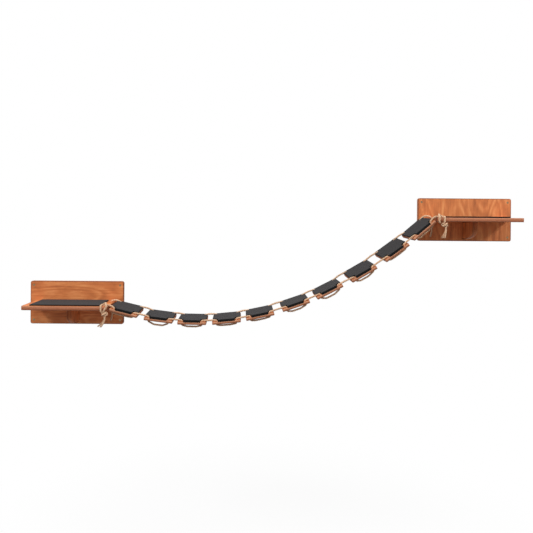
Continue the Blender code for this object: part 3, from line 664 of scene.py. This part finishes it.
def lay_felt(name, node, edge, low, high, matrix, felt, made, body):
    """A pad of felt cut along an edge, softened and uneven. A plank's felt hangs over its front."""
    count = len(edge)
    points = [(x, y, z) for z in (low.z, high.z) for x, y in edge]
    faces = [tuple(reversed(range(count))), tuple(range(count, 2 * count))]
    for i in range(count):
        j = (i + 1) % count
        faces.append((i, j, j + count, i + count))
    mesh = bpy.data.meshes.new(name)
    mesh.from_pydata(points, [], faces)
    obj = put(name, mesh)
    remesh = obj.modifiers.new("cut", "REMESH")
    remesh.mode = "VOXEL"
    remesh.voxel_size = felt.voxel
    soften = obj.modifiers.new("soften", "SMOOTH")
    soften.factor, soften.iterations = SOFTEN_FACTOR, SOFTEN_TIMES
    ready = obj.evaluated_get(bpy.context.evaluated_depsgraph_get())
    soft = bpy.data.meshes.new_from_object(ready)
    obj.modifiers.clear()
    obj.data = soft
    soft.name = name
    bpy.data.meshes.remove(mesh)

    # Faces that don't look up get the cut colour: painted shade on the pad's sides and edges
    facing = np.empty(len(soft.vertices) * 3, np.float32)
    soft.vertices.foreach_get("normal", facing)
    cut = 1 - np.clip((facing[2::3] - CUT_BELOW) / CUT_RANGE, 0, 1)
    middle = (low.z + high.z) / 2
    hang = 0.0 if body == FIXED else FELT_HANG
    front = min(y for _, y in edge) + FELT_EDGE
    for vertex in soft.vertices:
        co = vertex.co
        uneven = noise.fractal(matrix @ co * NAP_SCALE, *NAP_NOISE)
        if co.z > middle:
            co.z += felt.nap * (uneven - NAP_MIDDLE)
        elif co.y < front:
            co.z -= hang
        if co.y < front:
            co.y -= hang * FELT_BULGE_SHARE
    mark_points(soft, "cut_side", cut)
    soft.transform(matrix)
    soft.shade_smooth()
    soft.materials.clear()
    soft.materials.append(made)
    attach(obj, body)
    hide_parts(node)


def outline(corners):
    """The outline through corners of x, y and bend radius."""
    places = [(x, y, 0) for x, y, _ in corners]
    bends = [0, *(bend for _, _, bend in corners), 0]
    around = rounded([places[-1], *places, places[0]], bends)
    return [(p.x, p.y) for p in around[1:-1]]


def shelf_felt_outline(low, high):
    corners = (low.x, low.y), (high.x, low.y), (high.x, high.y), (low.x, high.y)
    return outline([(x, y, FELT_CORNER) for x, y in corners])


def plank_felt_outline(low, high):
    """A plank's felt: cut away at the front corners, and slotted for the back rope."""
    notch_x, notch_y = high.x - NOTCH_LENGTH, low.y + NOTCH_WIDTH
    slot_x = high.x - PLANK_HOLE_FROM_END - SLOT_WIDTH / 2
    slot_low = high.y - PLANK_HOLE_FROM_BACK - SLOT_WIDTH / 2
    slot_high = slot_low + SLOT_WIDTH
    turn = SLOT_WIDTH * SLOT_CORNER_SHARE
    right = [(notch_x, low.y, 0), (notch_x, notch_y, NOTCH_CORNER), (high.x, notch_y, 0)]
    right += [(high.x, slot_low, 0), (slot_x, slot_low, turn), (slot_x, slot_high, turn)]
    right += [(high.x, slot_high, 0), (high.x, high.y, 0)]
    middle = low.x + high.x
    return outline(right + [(middle - x, y, bend) for x, y, bend in reversed(right)])


# Rope


class Bridge:
    """Where the ropes run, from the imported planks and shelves."""

    def __init__(self, rope):
        self.diameter = rope.diameter
        self.reach = rope.diameter / 2 + SEAT
        self.frames = list(plank_frames().values())
        low, high = own_box(PLANKS[0], self.frames[0])
        length, width, self.thickness = high - low
        self.half_length = length / 2
        self.hole = self.half_length - PLANK_HOLE_FROM_END
        self.across = {
            "front": PLANK_HOLE_FROM_FRONT - width / 2,
            "back": width / 2 - PLANK_HOLE_FROM_BACK,
        }
        self.middle = -self.frames[0].translation.y
        self.shelves = {side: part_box(f"{side}_shelf") for side in SIDES}
        low, high = self.shelves["left"]
        self.shelf_thickness, self.shelf_depth = high.z - low.z, -low.y
        self.foot = -self.shelf_thickness - KNOT_DROP_SHARE * self.diameter

    def shelf_place(self, side, along, depth, height):
        """A point by a shelf: along from its bridge end, depth from the wall, height over it."""
        low, high = self.shelves[side]
        x = high.x - along if side == "left" else low.x + along
        return Vector((x, -depth, high.z + height))

    def span(self, near, far, lift):
        """Corners from one hole over both pieces' ends to the next hole."""
        (near_top, near_edge, near_up), (far_top, far_edge, far_up) = near, far
        along = far_top - near_top
        half = along.length / 2
        up = Vector((-along.z, 0, along.x)).normalized()
        along.normalize()
        rise = 0.0
        for edge in (near_edge, far_edge):
            out = half - abs((edge - near_top).dot(along) - half)
            rise = max(rise, (edge - near_top).dot(up) * half / out)
        return [
            (near_top + near_up * self.reach, ROPE_BEND),
            ((near_top + far_top) / 2 + up * (self.reach + rise + lift), FREE_BEND),
            (far_top + far_up * self.reach, ROPE_BEND),
        ]

    def loop_under(self, matrix, across, sag):
        """Corners of the loop below a plank, from hole to hole."""
        slide = LOOP_SLIDE * matrix.col[0].z
        high, low = (-self.thickness - drop - self.reach for drop in (LOOP_SHOULDER, sag))
        places = [(-self.hole, high, ROPE_BEND), (self.hole, high, ROPE_BEND)]
        places[1:1] = [(x - slide, low, LOOP_BEND) for x in (-LOOP_HALF_LENGTH, LOOP_HALF_LENGTH)]
        return [(matrix @ Vector((x, across, z)), bend) for x, z, bend in places]

    def stretch(self, across, lift, sags):
        """The line between the two shelves' holes, the middles of its spans and of its loops."""
        depth, up = self.middle - across, Vector((0, 0, 1))
        ends = [
            (*(self.shelf_place(side, along, depth, 0) for along in (SHELF_HOLE_FROM_END, 0)), up)
            for side in SIDES
        ]
        left, right = [ends[0]], []
        for matrix in self.frames:
            own_up = matrix.to_3x3() @ up
            for end, side in ((-1, right), (1, left)):
                xs = (end * self.hole, end * self.half_length)
                side.append((*(matrix @ Vector((x, across, -self.reach)) for x in xs), own_up))
        right.append(ends[1])
        route, spans, loops = [], [], []
        for number, (near, far) in enumerate(zip(left, right, strict=True)):
            route += self.span(near, far, lift)
            spans.append((near[0], route[-2][0], far[0]))
            if number < len(self.frames):
                route += self.loop_under(self.frames[number], across, sags[number])
                loops.append((route[-2][0] + route[-3][0]) / 2)
        return route, spans, loops

    def sweep(self, start, leaving, end, arriving):
        """Points of a smooth bend from one point and direction to another, without its ends."""
        reach = (end - start).length
        points = []
        for k in range(1, LEAD_POINTS):
            t = k / LEAD_POINTS
            points.append(
                start * (2 * t**3 - 3 * t**2 + 1)
                + leaving * reach * (t**3 - 2 * t**2 + t)
                + end * (3 * t**2 - 2 * t**3)
                + arriving * reach * (t**3 - t**2)
            )
        return points

    def knot(self, entry):
        """An overhand knot that hangs from its entry, down to where the rope leaves it."""
        ring, swell, rise, lead = (share * self.diameter for share in KNOT_SHARES)
        points = []
        for k in reversed(range(KNOT_POINTS)):
            angle = math.pi * KNOT_WIND_SHARE * (2 * k / (KNOT_POINTS - 1) - 1)
            radius = ring + swell * math.cos(KNOT_TWIST * angle)
            height = rise * math.sin(KNOT_TWIST * angle)
            points.append(Vector((radius * math.cos(angle), radius * math.sin(angle), height)))
        spin = Matrix.Rotation(KNOT_TURN, 3, "Z")
        points = [spin @ p for p in points]
        down = Vector((0, 0, -1))
        into = (points[1] - points[0]).normalized()
        out = (points[-1] - points[-2]).normalized()
        first = points[0] - (into + down) * lead
        last = points[-1] + (out + down) * lead
        points = [
            first,
            *self.sweep(first, down, points[0], into),
            *points,
            *self.sweep(points[-1], out, last, down),
            last,
            last + down * lead,
        ]
        return [p + entry - first for p in points]

    def hitch(self, side, arch):
        """From the shelf's hole up its front edge, round the rope, down and into the knot."""
        shares = HITCH_SHARES[side]
        depth = self.middle - self.across["front"]
        front, under = self.shelf_depth + self.reach, -self.shelf_thickness - self.reach
        hole = SHELF_HOLE_FROM_END
        at = {name: hole + share * self.diameter for name, share in shares.items()}
        over = self.shelf_place(side, at["cross"], 0, 0)
        crossed = float(np.interp(over.x, *zip(*sorted((p.x, p.z) for p in arch)))) - over.z
        turn = [
            (at["back"], depth - HITCH_BACK_SHARE * self.diameter, self.reach, LOOP_BEND),
            (at["cross"], depth, crossed + CROSSING_SHARE * self.diameter, CROSSING_BEND),
        ]
        if shares["up"] < shares["down"]:
            turn.reverse()
        route = [
            (hole, depth, -self.shelf_thickness / 2, 0),
            (hole, depth, under, ROPE_BEND),
            (at["up"], front, under, ROPE_BEND),
            (at["up"], front, self.reach, ROPE_BEND),
            *turn,
            (at["down"], front, self.reach, ROPE_BEND),
            (at["foot"], front, self.foot, 0),
        ]
        return [(self.shelf_place(side, *place), bend) for *place, bend in route]

    def back_end(self, side):
        depth = self.middle - self.across["back"]
        heights = (-self.shelf_thickness / 2, self.foot)
        return [(self.shelf_place(side, SHELF_HOLE_FROM_END, depth, z), 0) for z in heights]

    def whole(self, row):
        """One rope from knot to knot, with the middles of its spans and loops."""
        sags = [LOOP_SAG * share for share in LOOP_SAG_SHARES]
        if row == "back":
            sags.reverse()
        middle, spans, loops = self.stretch(self.across[row], LIFTS[row], sags)
        if row == "front":
            arch = rounded(*zip(*middle))
            left, right = (self.hitch(side, arch) for side in SIDES)
        else:
            left, right = (self.back_end(side) for side in SIDES)
        points = rounded(*zip(*left[::-1], *middle, *right))
        return self.knot(points[0])[::-1] + points[1:-1] + self.knot(points[-1]), spans, loops

    def tail_line(self, start, lean):
        drop = TAIL_LENGTH / math.hypot(1, lean)
        return [
            start + Vector((-lean * drop * share**2, 0, -drop * share))
            for share in (k / (TAIL_POINTS - 1) for k in range(TAIL_POINTS))
        ]


def runs(line):
    """How far along a line each of its points is."""
    return np.concatenate([[0], np.cumsum(np.linalg.norm(np.diff(line, axis=0), axis=1))])


def picked(line, run, at):
    return np.stack([np.interp(at, run, line[:, k]) for k in range(3)], axis=1)


def even(points, step):
    """The same line as an array of points a step apart, with its corners eased."""
    line = np.array([tuple(p) for p in points])
    run = runs(line)
    keep = np.concatenate([[True], np.diff(run) > TOUCHING])
    line, run = line[keep], run[keep]
    count = max(2 * FEWEST_STEPS, round(run[-1] / (step / EASE_FINENESS)))
    dense = picked(line, run, np.linspace(0, run[-1], count))
    kernel = np.hanning(2 * EASE_REACH + 3)[1:-1]
    kernel /= kernel.sum()
    before = 2 * dense[0] - dense[EASE_REACH:0:-1]
    after = 2 * dense[-1] - dense[-2 : -EASE_REACH - 2 : -1]
    padded = np.concatenate([before, dense, after])
    eased = np.stack([np.convolve(padded[:, k], kernel, "valid") for k in range(3)], axis=1)
    run = runs(eased)
    count = max(FEWEST_STEPS, round(run[-1] / step)) + 1
    return picked(eased, run, np.linspace(0, run[-1], count))


def carried_frames(line):
    """The way a line runs, and two directions across it that are carried along without a twist."""
    forward = np.gradient(line, axis=0)
    forward /= np.linalg.norm(forward, axis=1)[:, None]
    side = np.cross(forward[0], NEVER_ALONG)
    sides = []
    for ahead in forward:
        side = side - ahead * side.dot(ahead)
        side /= np.linalg.norm(side)
        sides.append(side)
    sides = np.array(sides)
    return forward, sides, np.cross(forward, sides)


def placed_rings(line, x, y, run):
    """Rings of points across a line, and each point's place on the rope."""
    _, sides, ups = carried_frames(line)
    rings = line[:, None] + x[..., None] * sides[:, None] + y[..., None] * ups[:, None]
    return rings, np.stack([x, y, np.broadcast_to(run, x.shape)], axis=2)


def lobed_section():
    """Angles, radii and groove depths round a rope of three strands, for a radius of one."""
    off = (np.arange(LOBE_POINTS) / LOBE_POINTS - 0.5) * 2 * math.pi / LOBES
    angles = 2 * math.pi * np.arange(LOBES)[:, None] / LOBES + off
    outer = np.sqrt(LOBE_RADIUS_SHARE**2 - (LOBE_PLACE_SHARE * np.sin(off)) ** 2)
    radii = np.tile(LOBE_PLACE_SHARE * np.cos(off) + outer, LOBES)
    return angles.ravel(), radii, (1 - radii) / (1 - radii.min())


def laid_rings(line, rope):
    """The rings of a laid rope: their points, each point's place on the rope, and its groove."""
    angles, radii, grooves = lobed_section()
    run = runs(line)[:, None]
    turned = angles + 2 * math.pi * run / rope.lay
    radius = rope.diameter * rope.fullness / 2 * radii
    x, y = radius * np.cos(turned), radius * np.sin(turned)
    return *placed_rings(line, x, y, run), np.broadcast_to(grooves, x.shape)


class Tube:
    """Gathers stretches of rope or yarn into one mesh."""

    def __init__(self):
        self.points, self.places, self.grooves, self.faces = [], [], [], []

    def add(self, rings, places, grooves):
        base = sum(len(p) for p in self.points)
        count, around = rings.shape[:2]
        self.points.append(rings.reshape(-1, 3))
        self.places.append(places.reshape(-1, 3))
        self.grooves.append(grooves.reshape(-1))
        for i in range(count - 1):
            for k in range(around):
                j, low = (k + 1) % around, base + i * around
                high = low + around
                self.faces.append((low + k, low + j, high + j, high + k))
        self.faces.append(tuple(base + k for k in reversed(range(around))))
        self.faces.append(tuple(base + (count - 1) * around + k for k in range(around)))

    def make(self, name, made):
        """One smooth mesh, whose points know their place on the rope and how deep in a groove."""
        mesh = bpy.data.meshes.new(name)
        mesh.from_pydata([tuple(p) for p in np.concatenate(self.points)], [], self.faces)
        if mesh.validate():
            raise RuntimeError(f"{name} has faces that don't hold")
        mesh.shade_smooth()
        mesh.set_sharp_from_angle(angle=SHARP)
        mesh.materials.append(made)
        mark_points(mesh, "rope_place", np.concatenate(self.places))
        mark_points(mesh, "rope_groove", np.concatenate(self.grooves))
        obj = put(name, mesh)
        return obj


def add_fibre(tube, path, radius, run):
    """One loose fibre or yarn, three-sided and drawn out to a point."""
    path = np.array(path)
    turns = np.arange(FIBRE_SIDES) * 2 * math.pi / FIBRE_SIDES
    thinning = radius * np.linspace(1, FIBRE_TIP_SHARE, len(path))
    x, y = (thinning[:, None] * wave(turns) for wave in (np.cos, np.sin))
    tube.add(*placed_rings(path, x, y, run), np.zeros_like(x))


def add_fuzz(tube, line, rope, rng):
    """Loose fibres that stand off the rope, along its lay."""
    forward, sides, ups = carried_frames(line)
    radius = rope.diameter * rope.fullness / 2
    for _ in range(round(rope.fuzz * rope.step * (len(line) - 1))):
        at = rng.integers(len(line))
        angle = rng.uniform(0, 2 * math.pi)
        out = math.cos(angle) * sides[at] + math.sin(angle) * ups[at]
        round_rope = -math.sin(angle) * sides[at] + math.cos(angle) * ups[at]
        length = rng.uniform(*FUZZ_LENGTHS) * rng.choice((-1, 1))
        lift = rng.uniform(*FUZZ_LIFTS)
        path = [
            line[at]
            + out * (FUZZ_ROOT_SHARE * radius + lift * share**FUZZ_CURVE)
            + (forward[at] + round_rope * FUZZ_SLANT) * length * share
            for share in np.linspace(0, 1, FUZZ_POINTS)
        ]
        add_fibre(tube, path, FUZZ_RADIUS, rng.uniform(0, 1))


def frayed(line, rope, bundles, seed):
    """The opened end of a tail: yarns that leave the rope and end in bundles."""
    rng = np.random.default_rng(seed)
    tube = Tube()
    last = len(line) - 1
    first = round(FRAY_START_SHARE * last)
    shares = np.linspace(0, 1, FRAY_POINTS)
    stem = line[np.round(first + shares * (last - first)).astype(int)]
    for across, below, spread, count in bundles:
        for _ in range(count):
            angle, far = rng.uniform(0, 2 * math.pi), math.sqrt(rng.uniform(0, 1))
            x, y = math.cos(angle) * far, math.sin(angle) * far
            start = np.array([x, y, 0]) * rope.diameter * FRAY_ROOT_SHARE
            drop = rng.uniform(-1, 1) * FRAY_UNEVEN - below
            end = np.array([across + x * spread, y * spread * FRAY_DEPTH_SHARE, drop])
            wave = np.array([rng.uniform(-1, 1) * FRAY_WAVE, 0, 0])
            path = [
                point + start * (1 - s) + end * s**FRAY_CURVE + wave * math.sin(math.pi * s)
                for point, s in zip(stem, shares)
            ]
            add_fibre(tube, path, FRAY_RADIUS, rng.uniform(0, 1))
    return tube


def nearest(line, point):
    return int(np.linalg.norm(line - np.array(point), axis=1).argmin())


# Operators


class CATBRIDGE_OT_stage(bpy.types.Operator):
    """Puts up the camera, the floor and the lamps"""

    bl_idname = "cat_bridge.stage"
    bl_label = "Stage"

    def execute(self, context):
        stage = context.scene.cat_bridge_stage
        camera = bpy.data.cameras.new("camera")
        camera.lens = stage.lens
        camera.shift_x, camera.shift_y = stage.shift
        camera.clip_end = CAMERA_REACH
        eye = put("camera", camera)
        turn = Matrix.Rotation(math.pi / 2, 4, "X") @ Matrix.Rotation(stage.roll, 4, "Z")
        eye.matrix_world = Matrix.Translation(stage.eye) @ turn
        context.scene.camera = eye
        context.scene.view_settings.view_transform = "Standard"

        middle = (Vector(cad_box[0]) + Vector(cad_box[1])) / 2
        self.floor(stage, middle)
        self.world(context, stage)
        for name, (setting, share, size, place) in LAMPS.items():
            light = bpy.data.lights.new(name, "AREA")
            light.energy, light.size = getattr(stage, setting) * share, size
            lamp = put(name, light)
            lamp.location = middle + Vector(place)
            lamp.rotation_euler = (middle - lamp.location).to_track_quat("-Z", "Y").to_euler()
        return {"FINISHED"}

    def floor(self, stage, middle):
        finish = Finish("floor")
        seen = finish.seen()
        grey = finish.mix(seen, FLOOR_GREY, WHITE)
        finish.surface(Base_Color=grey, Roughness=FLOOR_ROUGHNESS)
        x, y, _ = finish.parts(finish.outputs("ShaderNodeNewGeometry", {}, {})["Position"])
        away = ((x - middle.x) ** 2 + (y - middle.y) ** 2) ** 0.5
        shadow = SHADOW_DEPTH - away.smooth(*SHADOW_EDGE) * SHADOW_DEPTH
        white = finish.add("ShaderNodeEmission", {}, {"Color": WHITE, "Strength": 1.0})
        lit = Value(finish, finish.shader.outputs[0])
        share = seen * (1 - shadow)
        mixed = finish.add("ShaderNodeMixShader", {}, {0: share, 1: lit, 2: white})
        clear = finish.add("ShaderNodeBsdfTransparent", {}, {})
        below = finish.outputs("ShaderNodeNewGeometry", {}, {})["Backfacing"]
        either = finish.add("ShaderNodeMixShader", {}, {0: below, 1: mixed, 2: clear})
        finish.feed(finish.tree.nodes["Material Output"].inputs["Surface"], either)
        mesh = bpy.data.meshes.new("floor")
        corners = ((-1, -1), (1, -1), (1, 1), (-1, 1))
        points = [(x * FLOOR_HALF, y * FLOOR_HALF, stage.floor) for x, y in corners]
        mesh.from_pydata(points, [], [(0, 1, 2, 3)])
        mesh.materials.append(finish.material)
        put("floor", mesh)

    def world(self, context, stage):
        world = bpy.data.worlds.new("studio")
        world.use_nodes = True
        context.scene.world = world
        nodes = Nodes(world.node_tree)
        background = world.node_tree.nodes["Background"]
        nodes.feed(background.inputs["Color"], WHITE)
        nodes.feed(background.inputs["Strength"], nodes.seen() * (1 - stage.fill) + stage.fill)


class CATBRIDGE_OT_ropes(bpy.types.Operator):
    """Lays the two ropes from knot to knot, cut where they pass from one body to the next"""

    bl_idname = "cat_bridge.ropes"
    bl_label = "Ropes"

    def execute(self, context):
        rope = context.scene.cat_bridge_rope
        bridge = Bridge(rope)
        made = rope_finish("rope", rope)
        tubes, blends = {}, {}
        for row in ("front", "back"):
            route, spans, loops = bridge.whole(row)
            line = even(route, rope.step)
            parts = laid_rings(line, rope)
            marks = [("left_end", None, nearest(line, spans[0][0]))]
            for number, plank in enumerate(PLANKS):
                near, far = spans[number], spans[number + 1]
                start = near[0] if number == 0 else near[1]
                end = far[2] if number == len(PLANKS) - 1 else far[1]
                middle = nearest(line, loops[number])
                marks.append((f"{plank}_left", (FIXED, plank, start, near[2]), middle))
                marks.append((f"{plank}_right", (plank, FIXED, far[0], end), nearest(line, end)))
            marks.append(("right_end", None, len(line) - 1))
            first = 0
            rng = np.random.default_rng(len(row))
            for name, blend, last in marks:
                tube = tubes.setdefault(name, Tube())
                tube.add(*(part[first : last + 1] for part in parts))
                add_fuzz(tube, line[first : last + 1], rope, rng)
                blends[name] = blend
                first = last
        for name, tube in tubes.items():
            obj = tube.make(f"ropes_{name}", made)
            if blends[name]:
                a, b, start, end = blends[name]
                middle = -bridge.middle
                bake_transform(obj)
            else:
                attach(obj, FIXED)
            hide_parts("front_rope", "back_rope")
        return {"FINISHED"}


class CATBRIDGE_OT_tails(bpy.types.Operator):
    """Hangs the free rope ends below the knots"""

    bl_idname = "cat_bridge.tails"
    bl_label = "Free rope ends"

    def execute(self, context):
        rope = context.scene.cat_bridge_rope
        bridge = Bridge(rope)
        made = rope_finish("tail_rope", rope)
        for row in ("front", "back"):
            route, _, _ = bridge.whole(row)
            for side, start in (("left", route[0]), ("right", route[-1])):
                name = f"{row}_{side}"
                hung = bridge.tail_line(start + Vector((0, 0, -SEAT)), TAIL_LEANS[name])
                line = even(hung, rope.step)
                tube = Tube()
                tube.add(*laid_rings(line, rope))
                obj = tube.make(f"{name}_tail_rope", made)
                tube = frayed(line, rope, TAIL_BUNDLES[name], len(name))
                fray = tube.make(f"{name}_fray", made)
                for piece in (obj, fray):
                    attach(piece, FIXED)
                    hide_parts(f"{name}_tail")
        return {"FINISHED"}


class CATBRIDGE_OT_felt(bpy.types.Operator):
    """Lays felt on the shelves and the planks"""

    bl_idname = "cat_bridge.felt"
    bl_label = "Felt"

    def execute(self, context):
        felt = context.scene.cat_bridge_felt
        made = felt_finish(felt)
        for side in SIDES:
            node = f"{side}_shelf_pad"
            low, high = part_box(node)
            if side == "right":
                high.x -= RIGHT_FELT_SHORTER
            edge = shelf_felt_outline(low, high)
            lay_felt(f"{side}_shelf_felt", node, edge, low, high, Matrix(), felt, made, FIXED)
        for plank, matrix in plank_frames().items():
            node = plank.replace("plank", "plank_pad")
            low, high = own_box(node, matrix)
            edge = plank_felt_outline(low, high)
            lay_felt(f"{plank}_felt", node, edge, low, high, matrix, felt, made, plank)
        return {"FINISHED"}


class CATBRIDGE_OT_wall_units(bpy.types.Operator):
    """Stains the backboards, shelves and brackets"""

    bl_idname = "cat_bridge.wall_units"
    bl_label = "Wall units"

    def execute(self, context):
        wood = context.scene.cat_bridge_wood
        upright, sideways = (Matrix.Rotation(math.pi / 2, 4, axis) for axis in "XY")
        for number, side in enumerate(SIDES):
            turned = upright if side == "left" else upright @ Matrix.Rotation(math.pi / 2, 4, "Z")
            for piece, turn, side_colour in (
                ("backboard", turned, wood.board_side),
                ("shelf", Matrix(), wood.board_side),
                ("bracket", sideways, wood.middle),
            ):
                seed = SEEDS[piece] + number
                stain(f"{side}_{piece}", wood, turn, seed, side_colour, BOARD_SIDE_SHADE)
        return {"FINISHED"}


class CATBRIDGE_OT_planks(bpy.types.Operator):
    """Stains the planks"""

    bl_idname = "cat_bridge.planks"
    bl_label = "Planks"

    def execute(self, context):
        wood = context.scene.cat_bridge_wood
        for seed, (plank, matrix) in enumerate(plank_frames().items(), SEEDS["plank"]):
            stain(plank, wood, matrix, seed, wood.plank_side, PLANK_SIDE_SHADE)
        return {"FINISHED"}


class CATBRIDGE_OT_screws(bpy.types.Operator):
    """Plates the screws"""

    bl_idname = "cat_bridge.screws"
    bl_label = "Screws"

    def execute(self, context):
        made = screw_finish(context.scene.cat_bridge_screws)
        for node in frame["nodes"]:
            if "screw" in node:
                dress(node, made)
        return {"FINISHED"}


SETTINGS = {
    "cat_bridge_wood": CATBRIDGE_PG_wood,
    "cat_bridge_felt": CATBRIDGE_PG_felt,
    "cat_bridge_rope": CATBRIDGE_PG_rope,
    "cat_bridge_screws": CATBRIDGE_PG_screws,
    "cat_bridge_stage": CATBRIDGE_PG_stage,
}
OPERATORS = (
    CATBRIDGE_OT_stage,
    CATBRIDGE_OT_tails,
    CATBRIDGE_OT_ropes,
    CATBRIDGE_OT_felt,
    CATBRIDGE_OT_wall_units,
    CATBRIDGE_OT_planks,
    CATBRIDGE_OT_screws,
)


class CATBRIDGE_PT_bridge(bpy.types.Panel):
    """Lists the bridge's pieces and settings"""

    bl_idname = "CATBRIDGE_PT_bridge"
    bl_label = "Cat bridge"
    bl_space_type = "VIEW_3D"
    bl_region_type = "UI"
    bl_category = "Cat bridge"

    def draw(self, context):
        for operator in OPERATORS:
            self.layout.operator(operator.bl_idname)
        for name, group in SETTINGS.items():
            box = self.layout.box()
            settings = getattr(context.scene, name)
            for prop in group.__annotations__:
                box.prop(settings, prop)


CLASSES = (*SETTINGS.values(), *OPERATORS, CATBRIDGE_PT_bridge)


def register():
    for kind in CLASSES:
        bpy.utils.register_class(kind)
    for name, group in SETTINGS.items():
        setattr(bpy.types.Scene, name, bpy.props.PointerProperty(type=group))


def unregister():
    for name in SETTINGS:
        delattr(bpy.types.Scene, name)
    for kind in reversed(CLASSES):
        bpy.utils.unregister_class(kind)


def main():
    register()
    bpy.ops.cat_bridge.stage()
    bpy.ops.cat_bridge.tails()
    bpy.ops.cat_bridge.ropes()
    bpy.ops.cat_bridge.felt()
    bpy.ops.cat_bridge.wall_units()
    bpy.ops.cat_bridge.planks()
    bpy.ops.cat_bridge.screws()


if __name__ == "__main__":
    main()
